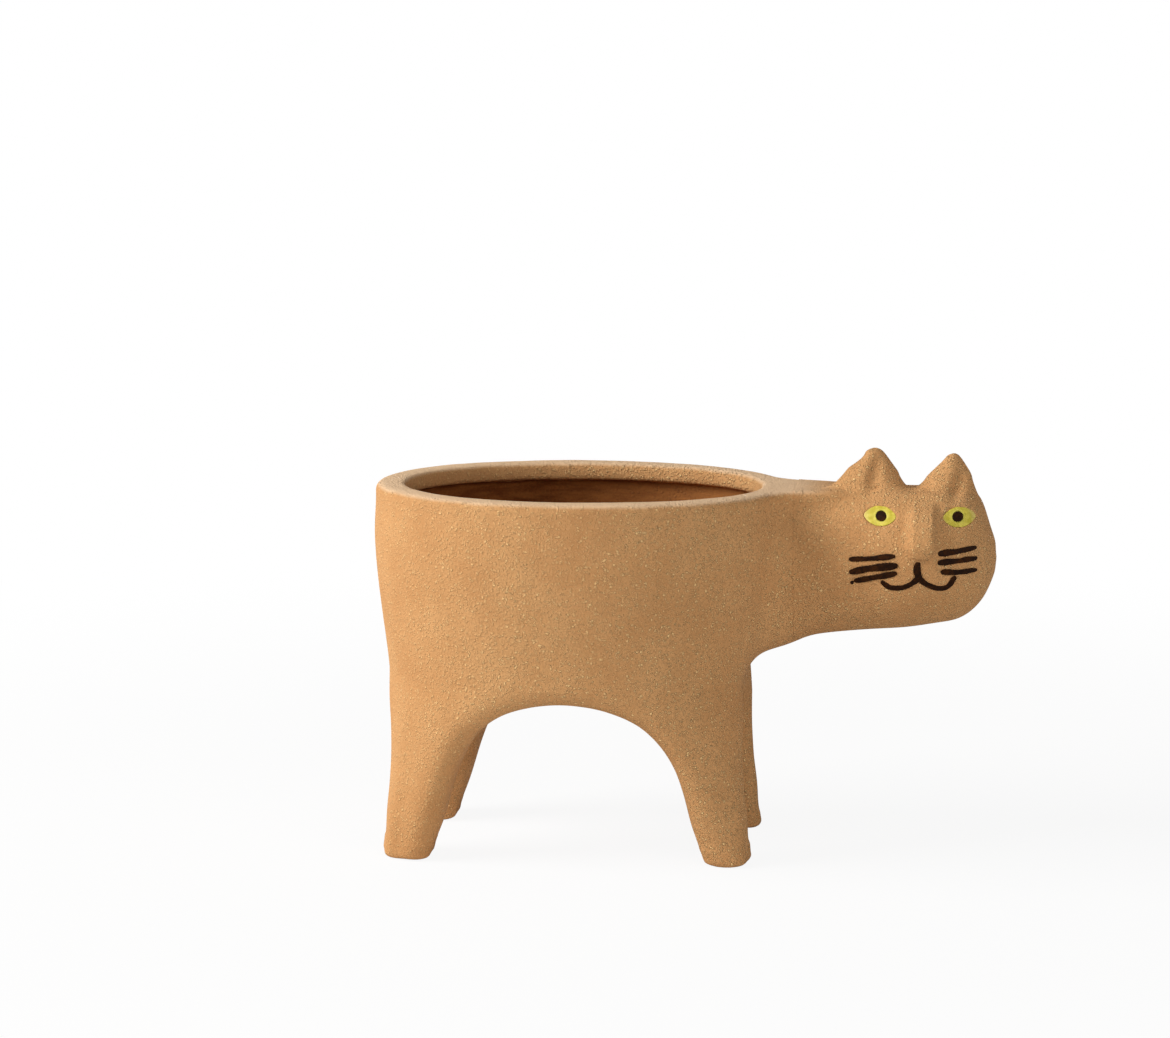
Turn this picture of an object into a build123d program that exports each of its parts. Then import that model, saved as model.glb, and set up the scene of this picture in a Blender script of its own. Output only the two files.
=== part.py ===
from build123d import *
import os
from math import atan2, copysign, cos, degrees, pi, sin, sqrt

# Cat shaped planter in fired clay. Millimetres, +Z up.
# The body is an oval pot standing on four legs, which are left where two arched tunnels
# cross under its belly. A thick neck leaves the pot's +X end and carries the head, whose
# face looks along -Y. Left and right are the cat's own sides.
# Everything is drawn about the pot's own upright axis. Each piece is moved along X as it is
# written, so that the origin lies on the ground at the middle of the whole length and width.

# The whole object. The belly sits a little behind the rim, by its setback.
pot_height = 81.0
pot_half_length = 46.3
pot_half_width = 37.1
pot_setback = 2.2
ear_rise = 9.0
wall = 4.0
overrun = 20.0

# Rim: a coil wider than the wall under it
lip_width = 7.1
collar_height = 4.3
lip_round = 1.6
lip_inner_round = 1.2

# Inside of the pot
floor_thickness = 4.6
floor_round = 9.0
drain_radius = 4.0

# Legs, measured in from the ends and sides of the oval at the soles, and the arches
leg_length = 12.4
leg_width = 23.3
side_arch_height = 36.7
side_arch_setback = 1.2
end_arch_height = 35.0
leg_round = 3.0
sole_round = 1.8

# Neck, from the pot's end wall to the middle of the head. Its seat is the swelling of the
# wall that it is luted to.
neck_length = 27.7
neck_root_depth = 10.3
neck_half_width = 12.2
neck_drop = 33.6
neck_blend = 8.5
neck_seat = 0.8

# Head: an egg cut level with the pot's rim
head_half_width = 17.1
head_half_depth = 14.4
head_half_height = 16.15
head_crop = 2.0
head_forward = 3.0
cheek_turn = 0.5
cheek_droop = 0.8

# Ears
ear_half_width = 9.3
ear_half_depth = 4.2
ear_setback = 1.0
ear_hollow_half_width = 1.9
ear_hollow_half_length = 4.0
ear_hollow_depth = 0.9

# Nose
nose_length = 13.3
nose_half_width = 4.4
nose_height = 3.1
nose_seat = 3.2
nose_tip_round = 1.6

# Eyes, glazed in shallow sockets
eye_half_width = 3.65
eye_half_height = 2.05
socket_depth = 0.95
eye_recess = 0.3
pupil_radius = 1.15
pupil_seat = 0.35
pupil_rise = 0.12

# Whiskers and mouth: glaze strokes laid in grooves
stroke_width = 1.0
groove_depth = 0.5
stroke_rise = 0.15

# The pot's outer wall: height, half length, half width, setback and squareness, which is 2 in
# an oval and grows as the corners over the legs fill out
pot_wall_shares = (
    (0, 0.9158, 0.9919, 1, 2.6),
    (0.074, 0.8996, 0.9761, 1, 2.6),
    (0.148, 0.8855, 0.9623, 1, 2.6),
    (0.228, 0.8702, 0.9467, 1, 2.58),
    (0.309, 0.8618, 0.938, 1, 2.55),
    (0.389, 0.8635, 0.9387, 0.987, 2.49),
    (0.469, 0.8683, 0.9407, 0.955, 2.4),
    (0.543, 0.888, 0.9502, 0.826, 2.32),
    (0.617, 0.9179, 0.965, 0.636, 2.25),
    (0.691, 0.9468, 0.9799, 0.474, 2.19),
    (0.765, 0.9719, 0.9919, 0.318, 2.15),
    (0.889, 0.9957, 1, 0.091, 2.1),
    (1, 0.9978, 0.9973, 0, 2.1),
)
outline_points = 24
outline_start = pi / 2
# The arches: half width and height, from below the sole up to the crown
side_arch_shares = ((1.06, -0.109), (1, 0), (0.893, 0.267), (0.83, 0.455), (0.71, 0.689), (0.543, 0.861))
end_arch_shares = ((1.071, -0.114), (1, 0), (0.914, 0.27), (0.8, 0.55), (0.6, 0.82))
leg_joint_share = 0.69

# The neck: place along it, how far it has grown to the head's width, forward, and depth below
neck_shares = (
    (0, 0.14, 0, -0.41),
    (0.263, 0, 0, 0),
    (0.474, 0, 0.1, 0.26),
    (0.632, 0.32, 0.4, 0.51),
    (0.789, 0.77, 0.77, 0.73),
    (0.947, 1, 1, 0.93),
)
neck_joint_share = 0.45
# The head beyond its middle: place out to the end, half height, lift and half depth
cheek_shares = (
    (0.3, 0.97, 0.027, 0.97),
    (0.5, 0.93, 0.034, 0.915),
    (0.66, 0.845, 0.045, 0.83),
    (0.78, 0.712, 0.038, 0.72),
    (0.87, 0.518, -0.008, 0.57),
    (0.935, 0.333, -0.033, 0.4),
    (0.98, 0.17, -0.04, 0.2),
)

# The ears: height, place across the head, half width and half depth
ear_right_shares = (
    (-0.5, -0.685, 1.13, 1.1),
    (-0.08, -0.655, 1, 1),
    (0.18, -0.638, 0.83, 0.88),
    (0.43, -0.597, 0.58, 0.76),
    (0.68, -0.585, 0.42, 0.6),
    (0.87, -0.562, 0.28, 0.44),
    (0.962, -0.544, 0.15, 0.25),
)
ear_right_tip_shares = (1, -0.538)
ear_left_shares = (
    (-0.53, 0.303, 0.93, 1.1),
    (-0.26, 0.316, 0.85, 1.07),
    (-0.045, 0.333, 0.753, 0.98),
    (0.214, 0.371, 0.6, 0.83),
    (0.462, 0.409, 0.43, 0.69),
    (0.71, 0.421, 0.28, 0.5),
    (0.84, 0.443, 0.16, 0.3),
)
ear_left_tip_shares = (0.9, 0.463)
ear_hollow_share = 0.25

# The nose: height along it, half width and height off the face
nose_shares = (
    (0, 0.78, 0.75),
    (0.13, 0.97, 1),
    (0.35, 1, 0.92),
    (0.6, 0.94, 0.68),
    (0.82, 0.85, 0.36),
    (1, 0.75, 0.05),
)
nose_place_share = 0.015
nose_bottom_share = 0.03

# Places on the face, across and up from the head's middle, in half widths and half heights
eye_place_shares = {"right": (-0.477, 0.582), "left": (0.52, 0.582)}
pupil_place_shares = {"right": (-0.462, 0.585), "left": (0.5, 0.592)}
# Each whisker's points: out from the nose's flank to the side of the head, up, and width
whisker_shares = {
    "whisker_right_top": ((0.114, 0.078, 0.9), (0.523, 0.024, 0.95), (0.799, 0, 0.85)),
    "whisker_right_middle": ((0.082, -0.05, 1.25), (0.49, -0.108, 1.4), (0.78, -0.172, 1.15)),
    "whisker_right_bottom": ((0.078, -0.155, 0.95), (0.435, -0.23, 1.1), (0.705, -0.29, 1)),
    "whisker_left_top": ((0.073, 0.126, 1.2), (0.347, 0.15, 1.15), (0.634, 0.187, 0.85)),
    "whisker_left_middle": ((0.073, 0.005, 1.15), (0.347, 0.022, 1.1), (0.647, 0.043, 0.9)),
    "whisker_left_bottom": ((0.118, -0.124, 1.1), (0.373, -0.133, 1.1), (0.647, -0.118, 0.85)),
}
# The mouth's three strokes: across and up from the head's middle, and width
mouth_shares = (
    ((0.018, 0.003, 0.8), (0.005, -0.08, 1.3), (0.029, -0.207, 1)),
    ((0.029, -0.207, 1), (-0.05, -0.276, 0.85), (-0.14, -0.333, 0.85), (-0.257, -0.356, 0.9),
     (-0.36, -0.338, 0.85), (-0.427, -0.288, 0.75)),
    ((0.029, -0.207, 1), (0.09, -0.27, 0.9), (0.17, -0.319, 0.9), (0.287, -0.356, 0.9),
     (0.39, -0.328, 0.85), (0.468, -0.214, 0.8)),
)

# Places that follow from the sizes above
overall_height = pot_height + ear_rise
floor_height = max(side_arch_height, end_arch_height) + floor_thickness
collar_base = pot_height - collar_height
leg_joint_height = leg_joint_share * end_arch_height
side_arch_half_width = pot_half_length * pot_wall_shares[0][1] - leg_length
end_arch_half_width = pot_half_width * pot_wall_shares[0][2] - leg_width
head_x = pot_half_length + neck_length
head_z = pot_height + head_crop - head_half_height
head_reach = head_x + head_half_width
neck_root_x = pot_half_length - neck_root_depth
neck_span = head_x - neck_root_x
neck_joint_x = neck_root_x + neck_joint_share * neck_span
ear_y = -head_forward - ear_setback
nose_x = head_x + nose_place_share * head_half_width
nose_bottom = head_z + nose_bottom_share * head_half_height
nose_flank = nose_half_width * sqrt(1 - (nose_seat / (nose_seat + nose_height)) ** 2)
centre_shift = (head_reach - pot_half_length) / 2
span = 3 * head_reach


def slab(low, high):
    """Everything between two heights."""
    return Pos(0, 0, low) * Box(span, span, high - low, align=(Align.CENTER, Align.CENTER, Align.MIN))


def block(low_x, high_x):
    """Everything between two places along the length."""
    return Pos(low_x, 0, 0) * Box(high_x - low_x, span, span, align=(Align.MIN, Align.CENTER, Align.CENTER))


def make_pot_section(z, half_length, half_width, setback, squareness):
    """One level outline of the pot, with its corners filled out as the squareness tells.

    It starts over a side arch, so that the surface's seam ends in the open there.
    """
    points = []
    for step in range(outline_points):
        turn = outline_start + 2 * pi * step / outline_points
        along = copysign(abs(cos(turn)) ** (2 / squareness), cos(turn))
        across = copysign(abs(sin(turn)) ** (2 / squareness), sin(turn))
        points.append((half_length * along - setback, half_width * across))
    with BuildSketch(Plane.XY.offset(z)) as outline:
        with BuildLine():
            Spline(*points, periodic=True)
        make_face()
    return outline.sketch


def make_pot_column(inset, extra):
    """The solid inside the pot's outer wall, drawn in by inset and carried up past the rim."""
    sections = []
    for height_share, length_share, width_share, setback_share, squareness in pot_wall_shares:
        half_length = pot_half_length * length_share - inset
        half_width = pot_half_width * width_share - inset
        setback = pot_setback * setback_share
        z = pot_height * height_share
        sections.append(make_pot_section(z, half_length, half_width, setback, squareness))
    if extra:
        z = pot_height + extra
        sections.append(make_pot_section(z, half_length, half_width, setback, squareness))
    return loft(sections)


def make_arch_tunnel(plane, reach, half_width, crown, outline_shares):
    """A tunnel with an arched roof, long enough to pass right through under the belly."""
    rising = [(half_width * across, crown * up) for across, up in outline_shares]
    left_side = [(-across, up) for across, up in rising]
    right_side = rising[::-1]
    with BuildSketch(plane.offset(-reach)) as opening:
        with BuildLine():
            Spline(*left_side, (0, crown), *right_side)
            Line(right_side[-1], left_side[0])
        make_face()
    return extrude(opening.sketch, amount=2 * reach)


def make_head_section(x, y, z, half_depth, half_height):
    """One upright oval across the neck or head."""
    plane = Plane(origin=(x, y, z), x_dir=(0, 1, 0), z_dir=(1, 0, 0))
    return plane * Ellipse(half_depth, half_height)


def make_neck_and_head():
    """The neck and the egg of the head in one, before the top is cut level."""
    head_top = head_z + head_half_height
    head_bottom = head_z - head_half_height
    neck_bottom = pot_height - neck_drop
    sections = []
    for along, width_grown, forward, deepened in neck_shares:
        bottom = neck_bottom + deepened * (head_bottom - neck_bottom)
        half_depth = neck_half_width + width_grown * (head_half_depth - neck_half_width)
        x = neck_root_x + along * neck_span
        middle = (head_top + bottom) / 2
        half_height = (head_top - bottom) / 2
        sections.append(make_head_section(x, -forward * head_forward, middle, half_depth, half_height))
    for out, height_share, lift_share, depth_share in cheek_shares:
        x = head_x + head_half_width * out
        y = cheek_turn * out - head_forward
        z = head_z + head_half_height * lift_share
        half_depth = head_half_depth * depth_share
        sections.append(make_head_section(x, y, z, half_depth, head_half_height * height_share))
    tip = Vertex(head_reach, cheek_turn - head_forward, head_z - cheek_droop)
    return loft(sections + [tip])


def make_ear(rows, tip_shares):
    """A flattened cone with a wide root sunk in the head, and a hollow down its front."""
    sections = []
    for height_share, across, width_share, depth_share in rows:
        place = Pos(head_x + across * head_half_width, ear_y, pot_height + height_share * ear_rise)
        sections.append(place * Ellipse(ear_half_width * width_share, ear_half_depth * depth_share))
    tip_height = pot_height + tip_shares[0] * ear_rise
    tip = Vertex(head_x + tip_shares[1] * head_half_width, ear_y, tip_height)
    ear = loft(sections + [tip])
    return ear - make_ear_hollow(tip_shares)


def make_ear_hollow(tip_shares):
    """The long dent thumbed into the front of an ear, leaning back with it."""
    rise = tip_shares[0] * ear_rise
    lean = degrees(atan2(ear_half_depth, rise))
    stretch = (1, ear_hollow_depth / ear_hollow_half_width, ear_hollow_half_length / ear_hollow_half_width)
    dent = scale(Sphere(ear_hollow_half_width), by=stretch)
    x = head_x + tip_shares[1] * head_half_width
    z = pot_height + ear_hollow_share * rise
    front = ear_y - ear_half_depth * (1 - ear_hollow_share)
    return Pos(x, front, z) * Rot(-lean, 0, 0) * dent


def face_front(z):
    """How far towards -Y the middle of the face stands at a height."""
    up = (z - head_z) / head_half_height
    return -head_forward - head_half_depth * sqrt(1 - up * up)


def make_nose(head):
    """The long ridge of the nose, seated on the face."""
    sections = []
    for along, width_share, rise_share in nose_shares:
        z = nose_bottom + along * nose_length
        plane = Plane.XY.offset(z)
        oval = Ellipse(nose_half_width * width_share, nose_seat + nose_height * rise_share)
        sections.append(plane * Pos(nose_x, face_front(z) + nose_seat, 0) * oval)
    ridge = loft(sections)
    ridge = fillet(ridge.edges().group_by(Axis.Z)[0], nose_tip_round)
    return ridge - head


def sunk(form, depth):
    """The head's form moved back, so that its face lies a depth behind the real one."""
    return Pos(0, depth, 0) * form


def make_cutter(outline):
    """An outline on the face, carried through the front of the head."""
    return extrude(Plane.XZ.offset(head_forward) * outline, amount=head_half_depth + overrun)


def face_point(across, up):
    """A place on the face, given in half widths and half heights of the head."""
    return (head_x + across * head_half_width, head_z + up * head_half_height)


def make_eye_outline(place):
    """An almond, from two arcs that meet at the corners of the eye."""
    x, z = face_point(*place)
    inner = (x - eye_half_width, z)
    outer = (x + eye_half_width, z)
    with BuildSketch() as almond:
        with BuildLine():
            ThreePointArc(inner, (x, z + eye_half_height), outer)
            ThreePointArc(outer, (x, z - eye_half_height), inner)
        make_face()
        fillet(almond.vertices(), eye_half_height / 3)
    return almond.sketch


def whisker_point(side, out, up):
    """A place on a cheek, counted from the nose's flank out to the side of the head."""
    sign = 1 if side == "left" else -1
    flank = nose_x + sign * nose_flank
    return (flank + out * (head_x + sign * head_half_width - flank), head_z + up * head_half_height)


def make_stroke_outline(points, width_shares):
    """A brush stroke: one smooth closed line with round ends, as wide as told along its path."""
    path = [Vector(*point) for point in points]
    last = len(path) - 1
    one_side = []
    other_side = []
    for index, (point, width_share) in enumerate(zip(path, width_shares)):
        along = (path[min(index + 1, last)] - path[max(index - 1, 0)]).normalized()
        to_edge = along * (stroke_width * width_share / 2)
        start_turns = [180, 135] if index == 0 else []
        end_turns = [45, 0] if index == last else []
        for turn in start_turns + [90] + end_turns:
            one_side.append(point + to_edge.rotate(Axis.Z, turn))
        for turn in start_turns[1:] + [90] + end_turns[:1]:
            other_side.append(point + to_edge.rotate(Axis.Z, -turn))
    with BuildSketch() as stroke:
        with BuildLine():
            Spline(*one_side, *other_side[::-1], periodic=True)
        make_face()
    return stroke.sketch


def save(name, shape):
    """Write one piece in the finished object's frame."""
    placed = Pos(-centre_shift, 0, 0) * shape
    export_step(placed, os.path.join("parts", name + ".step"))
    print(name, len(placed.solids()), round(placed.volume, 1), placed.is_valid)


os.makedirs("parts", exist_ok=True)

# The skin of pot, legs, neck and head in one, which is then parted where the clay was joined
pot_column = make_pot_column(0, overrun)
reach = pot_half_length + overrun
side_tunnel = make_arch_tunnel(Plane.XZ, reach, side_arch_half_width, side_arch_height, side_arch_shares)
side_tunnel = Pos(-side_arch_setback, 0, 0) * side_tunnel
end_tunnel = make_arch_tunnel(Plane.YZ, reach, end_arch_half_width, end_arch_height, end_arch_shares)
standing_pot = pot_column - side_tunnel - end_tunnel
arch_edges = standing_pot.edges().filter_by(lambda e: e.bounding_box().max.Z < floor_height)
arch_edges = arch_edges.filter_by(lambda e: e.center().Z > sole_round)
standing_pot = fillet(arch_edges, leg_round)
sole_edges = standing_pot.edges().group_by(Axis.Z)[0]
standing_pot = fillet(sole_edges, sole_round)

egg = make_neck_and_head()
skin = (standing_pot + egg) & slab(0, pot_height)
throat_edges = skin.edges().filter_by(lambda e: abs(e.center().Y) > neck_half_width / 2)
throat_edges = throat_edges.filter_by(lambda e: pot_height - neck_drop < e.center().Z < pot_height)
throat_edges = throat_edges.filter_by(lambda e: 0 < e.center().X < pot_half_length)
skin = fillet(throat_edges, neck_blend)
top_edges = skin.edges().group_by(Axis.Z)[-1]
skin = fillet(top_edges, lip_round)

# Neck and head: what stands outside the seat on the pot's wall
seat_column = make_pot_column(-neck_seat, overrun)
throat_and_head = (skin & block(0, head_reach + overrun)) - seat_column
neck = throat_and_head & block(0, neck_joint_x)
head = throat_and_head & block(neck_joint_x, head_reach + overrun)
save("neck", neck)

# Ears: each root is part of the head, and the ear itself stands on it
ears = {"right": make_ear(ear_right_shares, ear_right_tip_shares),
        "left": make_ear(ear_left_shares, ear_left_tip_shares)}
for side, ear in ears.items():
    head = head + (ear & slab(0, pot_height) & block(neck_joint_x, head_reach))
    save("ear_" + side, ear & slab(pot_height, overall_height))

# Eyes: glaze in a socket, with the pupil let into it
hollows = []
for side in ("right", "left"):
    socket = make_cutter(make_eye_outline(eye_place_shares[side])) - sunk(egg, socket_depth)
    pupil_outline = Pos(*face_point(*pupil_place_shares[side])) * Circle(pupil_radius)
    pupil = make_cutter(pupil_outline) - sunk(egg, eye_recess + pupil_seat)
    eye = (socket & sunk(egg, eye_recess)) - pupil
    save("eye_" + side, eye)
    save("pupil_" + side, pupil & sunk(egg, eye_recess - pupil_rise))
    hollows.append(socket)

# Whiskers and mouth: each stroke fills its groove and stands a little proud
proud_face = sunk(egg, -stroke_rise)
groove_floor = sunk(egg, groove_depth)
nose = make_nose(head)
for name, dabs in whisker_shares.items():
    side = name.split("_")[1]
    points = [whisker_point(side, out, up) for out, up, width in dabs]
    groove = make_cutter(make_stroke_outline(points, [width for out, up, width in dabs])) - groove_floor
    save(name, groove & proud_face)
    hollows.append(groove)
mouth_outline = Sketch()
for dabs in mouth_shares:
    points = [face_point(across, up) for across, up, width in dabs]
    mouth_outline += make_stroke_outline(points, [width for across, up, width in dabs])
groove = make_cutter(mouth_outline) - groove_floor
save("mouth", (groove & proud_face) - nose)
hollows.append(groove)
save("nose", nose)
for hollow in hollows:
    head = head - hollow
save("head", head)

# Rim: the coil that stands in over the wall, pierced by the oval opening
opening_half_length = pot_half_length * pot_wall_shares[-1][1] - lip_width
opening_half_width = pot_half_width * pot_wall_shares[-1][2] - lip_width
opening = make_pot_section(collar_base, opening_half_length, opening_half_width, 0, pot_wall_shares[-1][4])
rim = (skin & slab(collar_base, pot_height)) & seat_column
rim = rim - extrude(opening, amount=collar_height)
inner_edges = rim.edges().filter_by(lambda e: e.bounding_box().size.Z < lip_inner_round)
inner_edges = inner_edges.filter_by(
    lambda e: abs(e.bounding_box().size.Y - 2 * opening_half_width) < lip_inner_round)
rim = fillet(inner_edges, lip_inner_round)
save("rim", rim)

# Bowl: walls, vaulted underside, floor and drain hole
cavity = make_pot_column(wall, 0) & slab(floor_height, collar_base)
cavity = fillet(cavity.edges().group_by(Axis.Z)[0], floor_round)
drain = Cylinder(drain_radius, 2 * floor_height, align=(Align.CENTER, Align.CENTER, Align.CENTER))
bowl = (skin & slab(leg_joint_height, collar_base)) & seat_column
bowl = bowl - cavity - drain
save("bowl", bowl)

# Legs: named by the cat's own sides, with the head at the front
for leg in (standing_pot & slab(0, leg_joint_height)).solids():
    end = "front" if leg.center().X > 0 else "rear"
    side = "left" if leg.center().Y > 0 else "right"
    save("leg_" + end + "_" + side, leg)
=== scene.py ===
import math

import bmesh
import bpy
from mathutils import Matrix, Vector, noise
from mathutils.bvhtree import BVHTree


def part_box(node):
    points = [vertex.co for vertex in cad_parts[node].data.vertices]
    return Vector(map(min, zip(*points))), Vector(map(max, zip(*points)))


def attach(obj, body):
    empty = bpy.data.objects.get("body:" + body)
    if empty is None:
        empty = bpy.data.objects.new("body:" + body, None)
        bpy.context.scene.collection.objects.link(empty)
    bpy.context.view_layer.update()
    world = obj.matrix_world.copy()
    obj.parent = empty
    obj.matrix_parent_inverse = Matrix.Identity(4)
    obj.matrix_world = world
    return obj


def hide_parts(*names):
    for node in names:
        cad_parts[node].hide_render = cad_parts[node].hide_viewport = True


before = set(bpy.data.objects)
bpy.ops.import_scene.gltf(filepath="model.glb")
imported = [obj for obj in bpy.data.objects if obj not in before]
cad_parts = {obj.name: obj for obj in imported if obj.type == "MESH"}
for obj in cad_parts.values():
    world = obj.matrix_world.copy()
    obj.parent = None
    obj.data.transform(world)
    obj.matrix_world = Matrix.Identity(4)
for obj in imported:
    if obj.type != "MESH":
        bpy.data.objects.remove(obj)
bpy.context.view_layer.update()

# The clay body. The real planter is one hollow form: an oval pot on four legs with a neck and
# a head, built from clay pieces whose joints are wiped smooth before a sandy coat goes over
# them. Its skin is made in one here, then parted where the clay pieces were joined.
millimetre = 0.001
body_cell = 0.63 * millimetre
lip_foot = 76.0 * millimetre
pot_middle = -22.4
pot_centre = Vector((pot_middle, 0, 0)) * millimetre
# The middles of the soles in millimetres: along the cat, and to either side of its middle
front_sole = (10.0, 18.6)
rear_sole = (-57.9, 19.4)


def gathered(*forms):
    """Several forms in one mesh."""
    together = bmesh.new()
    for form in forms:
        copy = bpy.data.meshes.new("form")
        form.to_mesh(copy)
        together.from_mesh(copy)
        form.free()
        bpy.data.meshes.remove(copy)
    return together


def merged(*names):
    """Copies of clay solids in one mesh, each with its loose triangles joined."""
    solids = []
    for name in names:
        solid = bmesh.new()
        solid.from_mesh(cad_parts[name].data)
        bmesh.ops.remove_doubles(solid, verts=solid.verts, dist=0.002 * millimetre)
        solids.append(solid)
    return gathered(*solids)


def in_scene(name, data):
    """A new object in the scene."""
    made = bpy.data.objects.new(name, data)
    bpy.context.scene.collection.objects.link(made)
    return made


def reskinned(solids, cell):
    """The outer skin of several solids as one closed mesh of even cells."""
    mesh = bpy.data.meshes.new("skin")
    solids.to_mesh(mesh)
    solids.free()
    holder = in_scene("skin", mesh)
    even = holder.modifiers.new("even", "REMESH")
    even.mode = "VOXEL"
    even.voxel_size = cell
    skin = bmesh.new()
    skin.from_object(holder, bpy.context.evaluated_depsgraph_get())
    bpy.data.objects.remove(holder)
    return skin


def held(share):
    """The share, held between 0 and 1."""
    return min(1, max(0, share))


def wiped(skin, strokes, verts=None):
    """Smooths the skin or some of its points, as a wet sponge does."""
    verts = skin.verts if verts is None else verts
    for _ in range(strokes):
        bmesh.ops.smooth_vert(
            skin, verts=verts, factor=0.5, use_axis_x=True, use_axis_y=True, use_axis_z=True
        )


def pressed(skin, depth):
    """Sinks the skin here and there, as hand-pressed clay is never quite even."""
    palm, fingertip = 17 * millimetre, 5 * millimetre
    elsewhere = Vector((3, 7, 1))
    kept_flat = 4 * millimetre
    skin.normal_update()
    moves = []
    for vert in skin.verts:
        broad = noise.noise(vert.co / palm)
        small = noise.noise(vert.co / fingertip + elsewhere)
        sunk = depth * (0.5 + 0.5 * (0.75 * broad + 0.25 * small))
        moves.append(vert.normal * -sunk * min(1, vert.co.z / kept_flat))
    for vert, move in zip(skin.verts, moves):
        vert.co += move
    skin.normal_update()


def fuller_throat(skin):
    """Adds clay in the corner under the neck, where it was pressed against the wall."""
    corner = Vector((21, 0, 48)) * millimetre
    outward = Vector((0.35, 0, -0.94))
    thickness = 2.1 * millimetre
    reach_squared, fall_squared = 150, 30
    widest, half_width = 18, 11
    least_facing = 0.2
    skin.normal_update()
    moves = []
    for vert in skin.verts:
        away = (vert.co - corner) / millimetre
        away_squared = away.x * away.x + away.z * away.z
        facing = vert.normal.dot(outward)
        if away_squared < reach_squared and abs(away.y) < widest and facing > least_facing:
            fullness = math.exp(-away_squared / fall_squared - (away.y / half_width) ** 4)
            turned = min(1, (facing - least_facing) / (2 * least_facing))
            moves.append((vert, outward * (thickness * fullness * turned)))
    for vert, move in moves:
        vert.co += move


def widened(x, z):
    """Where a point of the wall comes to lie, as the pot is wider than its oval below the waist."""
    along = x - pot_middle
    waist, fall, width = (50, 18, 1.15) if along > 0 else (66, 20, -0.5)
    return x + held((waist - z) / fall) * min(1, abs(along) / 22) * width


def grooved(x, y, z):
    """The arch between the front legs runs out upwards in a shallow groove."""
    wall, foot, top = 8, 8, 46
    half_width, depth = 13, 2.8
    if x <= wall or z <= foot:
        return x
    reach = math.exp(-(y / half_width) ** 4) * min(1, (z - foot) / 8) * held((top - z) / 8)
    return x - depth * reach * min(1, (x - wall) / 6)


def squared_off(x, y, z, front):
    """A leg's outer corner is pushed out towards its sole, and its outer side is pressed in."""
    leg_height, corner_push = 34, 2.6
    side_press = 1.4 if front else 2.4
    squared = max(0, 1 - z / leg_height) ** 1.2
    centre_x, centre_y = front_sole if front else rear_sole
    outward_x = (x - centre_x) * (1 if front else -1)
    outward_y = abs(y) - centre_y
    reach = math.hypot(outward_x, outward_y)
    if not squared or reach <= 0.01:
        return x, y
    corner = max(0, (outward_x + outward_y) / reach / math.sqrt(2)) ** 4
    push = corner_push * squared * corner * min(1, reach / 6) / math.sqrt(2)
    # The front legs are a little fuller on the side of the side arch
    x += push - squared * held(-outward_x / 4) if front else -push
    inward = side_press * squared * held(outward_y / 6)
    return x, y + (push - inward) * (1 if y > 0 else -1)


def set_down(x, y, z):
    """The edge of a sole spreads where the leg was set down on the bat."""
    edge_height, widest = 2.6, 0.7
    if z >= edge_height:
        return x, y
    centre_x, centre_y = front_sole if x > pot_middle else rear_sole
    away_x, away_y = x - centre_x, y - math.copysign(centre_y, y)
    reach = max(math.hypot(away_x, away_y), 0.01)
    spread = widest * (1 - z / edge_height) ** 1.5 * min(1, reach / 5) ** 2
    return x + away_x / reach * spread, y + away_y / reach * spread


def fired_piece(name, mesh, coating):
    """The finished piece, in the place of the solid of that name."""
    mesh.materials.append(coating)
    piece = in_scene(mesh.name, mesh)
    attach(piece, "root")
    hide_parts(name)
    return piece


def clay_piece(name, skin, coating, *cuts):
    """One closed piece of the skin, behind each cutting plane, for the node of that name."""
    part = skin.copy()
    for place, direction in cuts:
        geom = part.verts[:] + part.edges[:] + part.faces[:]
        cut = bmesh.ops.bisect_plane(
            part, geom=geom, dist=0.001 * millimetre,
            plane_co=place, plane_no=direction, clear_outer=True,
        )
        edges = [e for e in cut["geom_cut"] if isinstance(e, bmesh.types.BMEdge)]
        if edges:
            bmesh.ops.triangle_fill(part, edges=edges, use_beauty=True, normal=direction)
    bmesh.ops.recalc_face_normals(part, faces=part.faces)
    mesh = bpy.data.meshes.new(name + "_clay")
    part.to_mesh(mesh)
    part.free()
    return fired_piece(name, mesh, coating)


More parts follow.
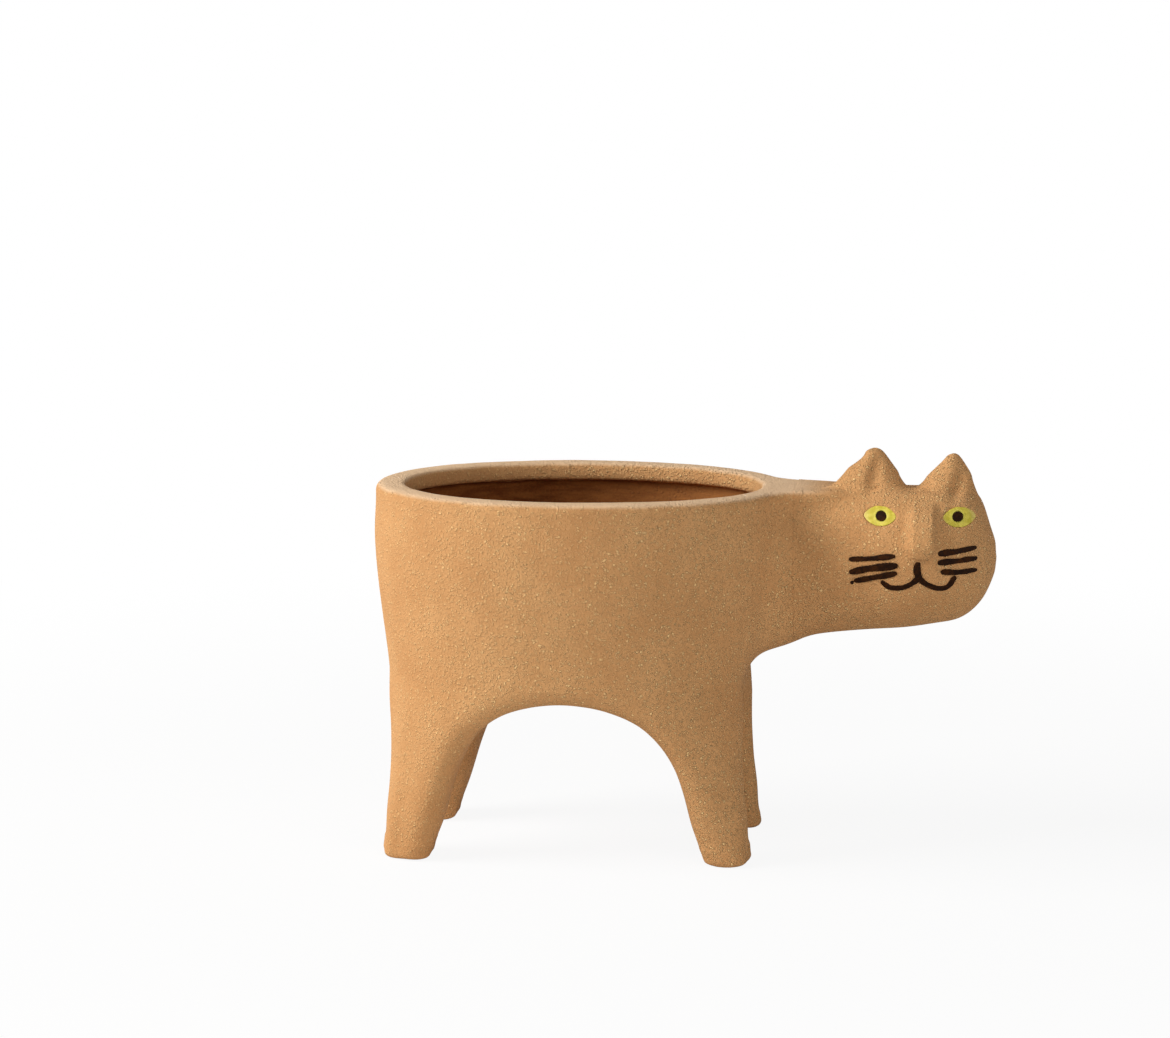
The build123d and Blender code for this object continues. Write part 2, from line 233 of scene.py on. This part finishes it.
class Wire:
    """A socket in a coat's recipe. Sums on it add their own Math nodes."""

    def __init__(self, tree, socket=None):
        self.tree = tree
        self.socket = socket

    def fill(self, node, sockets):
        """Gives a node's sockets their values or wires."""
        for key, value in sockets.items():
            if isinstance(value, Wire):
                self.tree.links.new(value.socket, node.inputs[key])
            else:
                node.inputs[key].default_value = value

    def node(self, kind, sockets=None, out=0, **settings):
        """Adds a node, sets it up, fills its sockets and gives one of its outputs."""
        made = self.tree.nodes.new("ShaderNode" + kind)
        for name, value in settings.items():
            setattr(made, name, value)
        self.fill(made, sockets or {})
        return Wire(self.tree, made.outputs[out])

    def maths(self, operation, *values):
        """Adds a Math node, whose sockets are numbered."""
        return self.node("Math", dict(enumerate(values)), operation=operation)

    def __add__(self, other):
        return self.maths("ADD", self, other)

    def __mul__(self, other):
        return self.maths("MULTIPLY", self, other)

    def __sub__(self, other):
        return self.maths("SUBTRACT", self, other)

    def __rsub__(self, other):
        return self.maths("SUBTRACT", other, self)

    __radd__ = __add__
    __rmul__ = __mul__

    def step(self, low, high):
        """0 below low, 1 above high, and smooth between them."""
        return self.node("MapRange", {0: self, 1: low, 2: high}, interpolation_type="SMOOTHSTEP")

    def blend(self, first, second):
        """From the first colour to the second, by this wire."""
        return self.node("Mix", {0: self, 6: first, 7: second}, out=2, data_type="RGBA")

    def noise(self, place, scale, detail=2.0, roughness=0.5):
        """Clouds at a place, their size the reciprocal of the scale."""
        sockets = {"Vector": place, "Scale": scale, "Detail": detail, "Roughness": roughness}
        return self.node("TexNoise", sockets)

    def bump(self, strength, distance):
        """The surface's direction when this wire is its height."""
        return self.node("Bump", {"Strength": strength, "Distance": distance, "Height": self})


def coat(name):
    """A new material: its recipe, the place on the object in millimetres, and its shader."""
    material = bpy.data.materials.new(name)
    material.use_nodes = True
    recipe = Wire(material.node_tree)
    place = recipe.node("TexCoord", out=3)
    place = recipe.node("VectorMath", {0: place, "Scale": 1 / millimetre}, operation="SCALE")
    return material, recipe, place, material.node_tree.nodes["Principled BSDF"]


def sand(recipe, place, cell, evenness, seed, size=0.4):
    """Raised sand grains, one in each cell, their sizes drawn by lot and more alike the higher
    the evenness: 0 between the grains and 1 on top of them."""
    place = recipe.node("VectorMath", {0: place, 1: (seed, 2 * seed, -seed)}, operation="ADD")
    warp = recipe.node("TexNoise", {"Vector": place, "Scale": 1.3 / cell, "Detail": 1.0}, out=1)
    warp = recipe.node("VectorMath", {0: warp, "Scale": 0.7 * cell}, operation="SCALE")
    place = recipe.node("VectorMath", {0: place, 1: warp}, operation="ADD")
    cells = {"Vector": place, "Scale": 1 / cell}
    away = recipe.node("TexVoronoi", cells)
    lot = recipe.node("SeparateColor", {0: recipe.node("TexVoronoi", cells, out=1)})
    radius = (1 - lot.step(0.0, evenness)) * size + size / 4
    return (radius - away).step(0.0, 0.6 * size)


shaded_tan, lit_tan = (0.49, 0.24, 0.09, 1), (0.61, 0.325, 0.132, 1)
grain_tan, tip_tan = (0.9, 0.54, 0.23, 1), (0.98, 0.64, 0.28, 1)
# The pale tan here is a painted highlight for the rim's top. The red beside it is painted light for
# the front of the inside.
top_highlight_tan, painted_lit_red = (0.83, 0.58, 0.36, 1), (0.44, 0.18, 0.05, 1)
# Reds for the bare inside: the darker one is darkened as painted shade, and the other is plainer
painted_shade_red, light_red = (0.13, 0.032, 0.004, 1), (0.24, 0.08, 0.015, 1)


def sandy_clay(name, pale_top=True, bare_inside=False):
    """The fired body's matt tan coat, with the light sand grains that stand up out of it."""
    material, recipe, place, shader = coat(name)
    along = recipe.node("SeparateXYZ", {0: place}, out=0)
    up = recipe.node("SeparateXYZ", {0: place}, out=2)
    broad = recipe.noise(place, 0.045, detail=1.0)
    patches = recipe.noise(place, 0.16)
    dusting = recipe.noise(place, 1.9, detail=3.0, roughness=0.6)
    tone = (broad * 0.4 + patches * 0.25 + dusting * 0.35).step(0.34, 0.66)
    colour = tone.blend(shaded_tan, lit_tan)
    # The sand lies in patches, and thicker towards the head than at the rear
    rear, middle = -65, 0
    crowding = (patches * 0.5 + broad * 0.5).step(0.38, 0.6) * 0.4 + 0.6
    crowding = crowding * (along.step(rear, middle) * 0.5 + 0.65)
    grains = sand(recipe, place, cell=0.74, evenness=1.6, seed=3.1) * crowding
    fines = sand(recipe, place, cell=0.45, evenness=1.9, seed=11.7) * crowding
    tips = sand(recipe, place, cell=0.95, evenness=1.9, seed=7.9, size=0.3) * crowding
    colour = (grains * 0.34 + fines * 0.28).blend(colour, grain_tan)
    colour = (tips * 0.72).blend(colour, tip_tan)
    height = tips * 1.1 + grains * 0.8 + fines * 0.5 + dusting * 0.8 + patches * 0.8
    if pale_top:
        # The top of the rim is painted pale as far as the neck, as a painted highlight of the light
        # from above
        highlight_from, highlight_full = 80.15, 81.1
        neck_from, neck_full = 22, 35
        top_highlight = (up + patches * 0.5).step(highlight_from, highlight_full)
        top_highlight = top_highlight * (1 - along.step(neck_from, neck_full))
        colour = (top_highlight * 0.85).blend(colour, top_highlight_tan)
    if bare_inside:
        # The coat ends in a wavy edge under the lip, and the red clay below it is streaked in
        # painted shade
        bare_below, coat_above = 75.95, 76.2
        shade_end, light_end = -40, 20
        within = recipe.node("Attribute", out=2, attribute_name="inside")
        wave = recipe.noise(place, 0.16, detail=1.0)
        low = 1 - (up - wave * 1.2).step(bare_below, coat_above)
        bare = (within * low).step(0.35, 0.65)
        stretched = recipe.node("Mapping", {"Vector": place, "Scale": (0.25, 0.25, 1.6)})
        streak = recipe.noise(stretched, 0.5, detail=3.0)
        red = (streak * 0.7 + dusting * 0.3).step(0.35, 0.65).blend(painted_shade_red, light_red)
        # Painted shade towards the rear of the inside, turning to painted light towards the front
        red = (along.step(shade_end, light_end) * 0.7).blend(red, painted_lit_red)
        colour = bare.blend(colour, red)
        height = height * (1 - bare * 0.7)
    recipe.fill(shader, {
        "Base Color": colour, "Roughness": 0.92 - tips * 0.15, "Specular IOR Level": 0.22,
        "Normal": height.bump(1.0, 0.27 * millimetre),
    })
    return material


body_skin = reskinned(
    merged("bowl", "rim", "leg_front_left", "leg_front_right", "leg_rear_left", "leg_rear_right",
           "neck", "head"),
    body_cell,
)
wiped(body_skin, 3)
wiped(body_skin, 5, [v for v in body_skin.verts if v.co.z < lip_foot - 2 * millimetre])
# The arches were opened with a wet thumb, so that legs and belly have full, soft edges
arch_foot, arch_top, arch_front = 4 * millimetre, 40 * millimetre, 30 * millimetre
arch_fullness, arch_fade = 0.45 * millimetre, 4 * millimetre
body_skin.normal_update()
arches = [v for v in body_skin.verts if arch_foot < v.co.z < arch_top and v.co.x < arch_front]
for vert in arches:
    from_end = min(vert.co.z - arch_foot, arch_top - vert.co.z)
    vert.co += vert.normal * (arch_fullness * min(1, from_end / arch_fade))
wiped(body_skin, 70, arches)
fuller_throat(body_skin)
for vert in body_skin.verts:
    x, y, z = vert.co / millimetre
    front = x > pot_middle
    x = grooved(widened(x, z), y, z)
    x, y = squared_off(x, y, z, front)
    x, y = set_down(x, y, z)
    vert.co = Vector((x, y, z)) * millimetre
pressed(body_skin, 0.3 * millimetre)

# The bowl: walls, vaulted belly and floor of red clay. It is coated outside and left bare
# inside, as far up as the foot of the lip, and the legs and the neck are luted to it.
pot_clay = sandy_clay("pot_clay", pale_top=False, bare_inside=True)
neck_root = Vector((24.75, 0, 0)) * millimetre
lip_joint = Vector((0, 0, lip_foot))
leg_joint = Vector((0, 0, 24.15 * millimetre))
ahead, behind = Vector((1, 0, 0)), Vector((-1, 0, 0))
leftward, rightward = Vector((0, 1, 0)), Vector((0, -1, 0))
upward, downward = Vector((0, 0, 1)), Vector((0, 0, -1))


def mark_inside(piece):
    """Marks where the wall faces the pot's own middle, for the bare clay there and its painted
    shade.
    """
    waist, floor_height = 42, 39
    half_length, length_flare = 39.5, 0.17
    half_width, width_flare = 33.5, 0.065
    shift, lean = 1.9, 0.057
    fullness = 2.3
    mark = piece.data.attributes.new("inside", "FLOAT", "POINT")
    for vertex, value in zip(piece.data.vertices, mark.data):
        out = Vector((vertex.co.x - pot_centre.x, vertex.co.y, 0)) / millimetre
        height = vertex.co.z / millimetre
        above = height - waist
        inward = vertex.normal.dot(out.normalized()) < 0.1 or abs(vertex.normal.z) > 0.7
        along = abs(out.x + shift - lean * above) / (half_length + length_flare * above)
        across = abs(out.y) / (half_width + width_flare * above)
        within = along ** fullness + across ** fullness < 0.93
        value.value = float(inward and within and height > floor_height)


bowl = clay_piece("bowl", body_skin, pot_clay,
                  (neck_root, ahead), (lip_joint, upward), (leg_joint, downward))
mark_inside(bowl)

# The rim: a coil of the same clay laid round the mouth of the pot, luted on and rubbed flat.
# Its top is painted pale, as a painted highlight of the light from above.
rim_clay = sandy_clay("rim_clay", bare_inside=True)
rim = clay_piece("rim", body_skin, rim_clay, (neck_root, ahead), (lip_joint, downward))
mark_inside(rim)

# The four legs: what the arches at the sides and ends leave of the clay under the belly. They
# are coated all round, and their soles are wiped flat.
leg_clay = sandy_clay("leg_clay", pale_top=False)
for end, beyond_end in (("front", behind), ("rear", ahead)):
    for side, beyond_side in (("left", rightward), ("right", leftward)):
        clay_piece("leg_" + end + "_" + side, body_skin, leg_clay,
                   (leg_joint, upward), (pot_centre, beyond_end), (pot_centre, beyond_side))

# The head on its neck: solid lumps of the same clay, with grooves pressed into the face for
# the glaze. The joints are rubbed full of slip until the lumps run into each other.
head_cell = 0.32 * millimetre
neck_joint = Vector((30.7, 0, 0)) * millimetre
head_clay = sandy_clay("head_clay")
brush_strokes = ["whisker_" + side + "_" + row
                 for side in ("right", "left") for row in ("top", "middle", "bottom")]
brush_strokes.append("mouth")


def shape_of(*names):
    """The surface of some clay solids, to measure from."""
    solids = merged(*names)
    tree = BVHTree.FromBMesh(solids)
    solids.free()
    return tree


def near_joint(skin, one, other, reach):
    """The skin's points within reach of both surfaces."""
    return [v for v in skin.verts
            if one.find_nearest(v.co, reach)[0] and other.find_nearest(v.co, reach)[0]]


def luted(skin, verts, strokes):
    """Fills the creases among these points and leaves what stands out."""
    rings = [(v, [e.other_vert(v) for e in v.link_edges]) for v in verts]
    for _ in range(strokes):
        skin.normal_update()
        moves = []
        for vert, ring in rings:
            middle = sum((near.co for near in ring), Vector()) / len(ring)
            rise = (middle - vert.co).dot(vert.normal)
            if rise > 0:
                moves.append((vert, vert.normal * rise))
        for vert, move in moves:
            vert.co += move


# The nose: a long strip of the same clay with sloping flanks, laid down the middle of the face
# and rubbed in, so that its top runs out into the brow.
def face_y(z):
    """How far forward the middle of the face stands at a height, in millimetres."""
    axis_y, middle_z, half_height, half_depth = -3, 66.85, 16.15, 14.4
    up = (z - middle_z) / half_height
    return axis_y - half_depth * math.sqrt(max(0, 1 - up * up))


def nose_ridge():
    """The nose before it is rubbed in: a long block with sloping flanks, set into the face."""
    ridge = bmesh.new()
    bmesh.ops.create_cube(ridge, size=1)
    bmesh.ops.subdivide_edges(ridge, edges=ridge.edges, cuts=9, use_grid_fill=True)
    middle_x, foot, top, crown = 52.8, 66.9, 80.6, 80
    set_in, rise = 2.5, 3.4
    for vert in ridge.verts:
        across, front, up = 2 * vert.co.x, 0.5 - vert.co.y, vert.co.z + 0.5
        half_width = 4.3 - 1.9 * front if across > 0 else 5.3 - 3.0 * front
        half_width *= (1 - 0.1 * up) * (1 - 0.45 * max(0, 0.2 - up) / 0.2)
        z = foot + (top - foot) * up + 0.8 * front * (1 - up)
        raised = set_in * (1 - up ** 9) + rise * (1 - up ** 3.5) * min(1, 0.55 + 2.5 * up)
        y = face_y(min(z, crown)) + set_in - raised * front
        vert.co = Vector((middle_x + across * half_width, y, z)) * millimetre
    bmesh.ops.recalc_face_normals(ridge, faces=ridge.faces)
    return ridge


def rubbed_in(skin):
    """Wipes the nose and the face beside it, and the tip once more."""
    tip = Vector((52, -19, 71)) * millimetre
    half_breadth, tip_reach = 7 * millimetre, 5 * millimetre
    behind_nose, below_nose = -9 * millimetre, 66 * millimetre
    wiped(skin, 3, [v for v in skin.verts if abs(v.co.x - tip.x) < half_breadth
                    and v.co.y < behind_nose and v.co.z > below_nose])
    wiped(skin, 8, [v for v in skin.verts if (v.co - tip).length < tip_reach])


# The two ears: flat lobes of the same clay, luted onto the top of the head. Their fronts were
# dented with a thumb, their outer edges pinched, and their tips bent a little aside.
ear_joint = Vector((0, 0, 81.0 * millimetre))
ears_apart_x = 50.1
ears_apart = Vector((ears_apart_x, 0, 0)) * millimetre


def full_ear(name):
    """An ear without the solid's hollow, because the dents are pressed in later."""
    ear_foot = 82 * millimetre
    lobe, full = merged(name), bmesh.new()
    for vert in lobe.verts:
        if vert.co.z > ear_foot:
            full.verts.new(vert.co)
    lobe.free()
    bmesh.ops.convex_hull(full, input=full.verts)
    loose = [v for v in full.verts if not v.link_faces]
    bmesh.ops.delete(full, geom=loose, context="VERTS")
    return full


def softened(skin):
    """Fills what is left of the solids' hollows and rounds the creases beside the ears."""
    front_reach, crease_reach = 6.5 * millimetre, 3 * millimetre
    crease_foot, crease_top = 79 * millimetre, 84.5 * millimetre
    for middle in (42.6, 59.7):
        hollow = Vector((middle, -7.2, 84.3)) * millimetre
        front = [v for v in skin.verts
                 if (v.co - hollow).length < front_reach and v.normal.y < 0.3]
        luted(skin, front, 150)
        wiped(skin, 12, front)
    for crease in (50.0, 66.0):
        wiped(skin, 60, [v for v in skin.verts
                         if abs(v.co.x - crease * millimetre) < crease_reach
                         and crease_foot < v.co.z < crease_top])


def pinched(skin):
    """Pinches the ears' outer edges, bends the tips to the cat's right and sinks the right
    ear's foot towards the neck."""
    right_pinch, left_pinch, pinch_height = 1.15, 0.6, 87.6
    bend, foot_low, foot_high, foot_end = 0.45, 81, 85.5, 39
    for vert in skin.verts:
        x, _, z = vert.co / millimetre
        if z > 83 and x > 30:
            outer = min(1, max(0, -vert.normal.x - 0.15) * 2)
            pinch = right_pinch if x < ears_apart_x else left_pinch
            x += pinch * math.exp(-((z - pinch_height) / 2.0) ** 2) * outer
            x -= bend * held((z - 85) / 4)
            vert.co.x = x * millimetre
        if foot_low < z < foot_high and 28 < x < foot_end:
            lowered = 0.5 * (z - foot_low) * min(1, (foot_end - x) / 4)
            vert.co.z = (z - lowered * min(1, (foot_high - z) / 3)) * millimetre


def thumbed(skin, place, lean, depth):
    """A soft dent down the front of an ear."""
    place = Vector(place) * millimetre
    half_width, half_length = 1.4, 3.6
    for vert in skin.verts:
        away = (vert.co - place) / millimetre
        on_ear = abs(away.z) < 7 and abs(away.x) < 6
        if on_ear and vert.normal.y < -0.2 and vert.co.y < -4 * millimetre:
            across = (away.x - lean * away.z) / half_width
            along = away.z / half_length
            fullness = math.exp(-across * across - along * along)
            vert.co += vert.normal * (-depth * millimetre * fullness)


# The head's skin, with its joints rubbed in and its ears shaped, is parted into the pieces
ridge = nose_ridge()
nose_surface = BVHTree.FromBMesh(ridge)
head_skin = reskinned(
    gathered(merged("neck", "head", "ear_left", "ear_right"), ridge,
             full_ear("ear_left"), full_ear("ear_right")),
    head_cell,
)
grooves = shape_of(*brush_strokes)
head_surface = shape_of("head")
ear_surface = shape_of("ear_left", "ear_right")
luted(head_skin, near_joint(head_skin, grooves, grooves, 0.7 * millimetre), 16)
luted(head_skin, near_joint(head_skin, head_surface, nose_surface, 1.0 * millimetre), 4)
luted(head_skin, near_joint(head_skin, head_surface, ear_surface, 1.8 * millimetre), 24)
softened(head_skin)
rubbed_in(head_skin)
wiped(head_skin, 4)
fuller_throat(head_skin)
head_skin.normal_update()
pinched(head_skin)
thumbed(head_skin, (41.9, -7.5, 84.6), lean=0.19, depth=1.0)
thumbed(head_skin, (60.3, -7.5, 83.3), lean=0.28, depth=0.95)
pressed(head_skin, 0.12 * millimetre)
clay_piece("neck", head_skin, head_clay, (neck_root, behind), (neck_joint, ahead))
head = clay_piece("head", head_skin, head_clay, (neck_joint, behind), (ear_joint, upward))
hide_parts("nose")
for side, beyond_side in (("right", ahead), ("left", behind)):
    clay_piece("ear_" + side, head_skin, head_clay,
               (ear_joint, downward), (neck_joint, behind), (ears_apart, beyond_side))

# The whiskers, the mouth and the pupils: thick black glaze, brushed into grooves of the raw
# face and onto the eyes, and fired with the body. It thins to brown where the brush lifted.
thick_black, thin_black = (0.012, 0.0032, 0.0004, 1), (0.04, 0.012, 0.002, 1)


def glaze_piece(name, cell, unevenness, finish, flattened=1.0):
    """One dab of glaze: its solid with soft edges and the unevenness of a brush."""
    brush, bristle = 0.9 * millimetre, 0.35 * millimetre
    low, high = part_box(name)
    dab = merged(name)
    if name == "whisker_right_bottom":
        # A stray dab at the outer end of this stroke
        speck = Vector((low.x - 0.35 * millimetre,
                        low.y + 0.62 * (high.y - low.y),
                        low.z + 0.25 * millimetre))
        bmesh.ops.create_icosphere(
            dab, subdivisions=3, radius=0.42 * millimetre, matrix=Matrix.Translation(speck)
        )
    dab = reskinned(dab, cell)
    wiped(dab, 3)
    dab.normal_update()
    if name == "mouth":
        # The mouth was drawn with a fuller brush
        for vert in dab.verts:
            vert.co += Vector((vert.normal.x, 0, vert.normal.z)) * 0.14 * millimetre
    middle_z = (low.z + high.z) / 2
    for vert in dab.verts:
        vert.co.z = middle_z + (vert.co.z - middle_z) * flattened
    dab.normal_update()
    for vert in dab.verts:
        wobble = noise.noise(vert.co / brush) + 0.5 * noise.noise(vert.co / bristle)
        vert.co += vert.normal * unevenness * wobble
    mesh = bpy.data.meshes.new(name + "_glaze")
    dab.to_mesh(mesh)
    dab.free()
    fired_piece(name, mesh, finish)


black, recipe, place, shader = coat("black_glaze")
thin = recipe.noise(place, 1.6, detail=3.0, roughness=0.6) * 0.6
thin = (thin + recipe.noise(place, 0.5, detail=1.0) * 0.4).step(0.42, 0.66)
recipe.fill(shader, {
    "Base Color": thin.blend(thick_black, thin_black), "Roughness": 0.5 + thin * 0.2,
    "Specular IOR Level": 0.06, "Normal": recipe.noise(place, 3.5).bump(0.5, 0.05 * millimetre),
})
for name in brush_strokes:
    glaze_piece(name, 0.11 * millimetre, 0.07 * millimetre, black)
for side in ("right", "left"):
    glaze_piece("pupil_" + side, 0.08 * millimetre, 0.03 * millimetre, black,
                flattened=0.87)

# The eyes: yellow-green glaze, pooled in two almond hollows of the face. It is palest round
# the black of the pupil and thin at the ends, where the clay shows through.
pooled_yellow, thin_yellow = (0.5, 0.41, 0.035, 1), (0.64, 0.53, 0.075, 1)
halo_yellow, edge_yellow = (0.72, 0.65, 0.12, 1), (0.66, 0.49, 0.17, 1)
for side in ("right", "left"):
    yellow, recipe, place, shader = coat("yellow_glaze_" + side)
    low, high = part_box("pupil_" + side)
    middle = [(a + b) / 2 / millimetre for a, b in zip(low, high)]
    from_pupil = recipe.node("VectorMath", {0: place, 1: middle}, out=1, operation="DISTANCE")
    uneven = recipe.noise(place, 0.9).step(0.35, 0.65)
    colour = uneven.blend(pooled_yellow, thin_yellow)
    halo = 1 - from_pupil.step(1.2, 1.9)
    colour = (halo * 0.6).blend(colour, halo_yellow)
    thin_edge = from_pupil.step(2.6, 3.9)
    colour = (thin_edge * 0.55).blend(colour, edge_yellow)
    recipe.fill(shader, {
        "Base Color": colour, "Roughness": 0.4, "Specular IOR Level": 0.25,
        "Normal": recipe.noise(place, 1.4).bump(0.4, 0.06 * millimetre),
    })
    glaze_piece("eye_" + side, 0.1 * millimetre, 0.04 * millimetre, yellow)

# The studio: a pale paper floor, which fades to white where the camera sees it far off, and a
# white backdrop that gives only a weak light of its own.
paper_grey = (0.82, 0.81, 0.8, 1)
white = (1, 1, 1, 1)
near_planter, far_off = 0.12, 0.4
ambient = 0.16


def seen_by_camera(recipe):
    """1 on the camera's own rays and on those that reach it by gloss or through glass."""
    direct, glossy, through = 0, 3, 6
    seen = recipe.node("LightPath", out=direct) + recipe.node("LightPath", out=glossy)
    return seen + recipe.node("LightPath", out=through)


sheet = bmesh.new()
bmesh.ops.create_grid(sheet, x_segments=1, y_segments=1, size=8)
floor_mesh = bpy.data.meshes.new("floor")
sheet.to_mesh(floor_mesh)
sheet.free()
floor = in_scene("floor", floor_mesh)
paper = bpy.data.materials.new("paper")
paper.use_nodes = True
recipe = Wire(paper.node_tree)
matt = paper.node_tree.nodes["Principled BSDF"]
recipe.fill(matt, {"Base Color": paper_grey, "Roughness": 0.9, "Specular IOR Level": 0.1})
glow = recipe.node("Emission", {"Color": white, "Strength": 1.0})
away = recipe.node("VectorMath", {0: recipe.node("TexCoord", out=3)}, out=1, operation="LENGTH")
glowing = seen_by_camera(recipe) * (away.step(near_planter, far_off) * 0.09 + 0.91)
mixed = recipe.node("MixShader", {0: glowing, 1: Wire(recipe.tree, matt.outputs[0]), 2: glow})
recipe.fill(paper.node_tree.nodes["Material Output"], {"Surface": mixed})
floor.data.materials.append(paper)

world = bpy.data.worlds.new("studio")
bpy.context.scene.world = world
world.use_nodes = True
recipe = Wire(world.node_tree)
seen = seen_by_camera(recipe)
strength = seen.maths("MINIMUM", seen, 1.0) * (1 - ambient) + ambient
recipe.fill(world.node_tree.nodes["Background"], {"Color": white, "Strength": strength})

# The camera looks down a little at the cat's right side, through a long lens
camera = in_scene("camera", bpy.data.cameras.new("camera"))
camera.data.sensor_width = 36
camera.data.lens = 115.8
camera.location = (0.0715, -0.817, 0.198)
aim = Vector((-0.0218, -0.002, 0.0728))
camera.rotation_euler = (aim - camera.location).to_track_quat("-Z", "Y").to_euler()
bpy.context.scene.camera = camera

# A large soft lamp stands at the left, as a window would, and two weaker ones fill in
lit_place = Vector((-0.01, 0, 0.045))
for name, place, width, power in (
    ("key", (-1.11, -0.34, 0.7), 0.8, 22.5),
    ("low", (0.85, -0.75, 0.15), 0.7, 2.6),
    ("fill", (0.7, -1.45, 0.8), 1.4, 7),
):
    lamp = in_scene(name, bpy.data.lights.new(name, "AREA"))
    lamp.data.size = width
    lamp.data.energy = power
    lamp.location = place
    lamp.rotation_euler = (lit_place - lamp.location).to_track_quat("-Z", "Y").to_euler()
bpy.context.scene.view_settings.view_transform = "Standard"
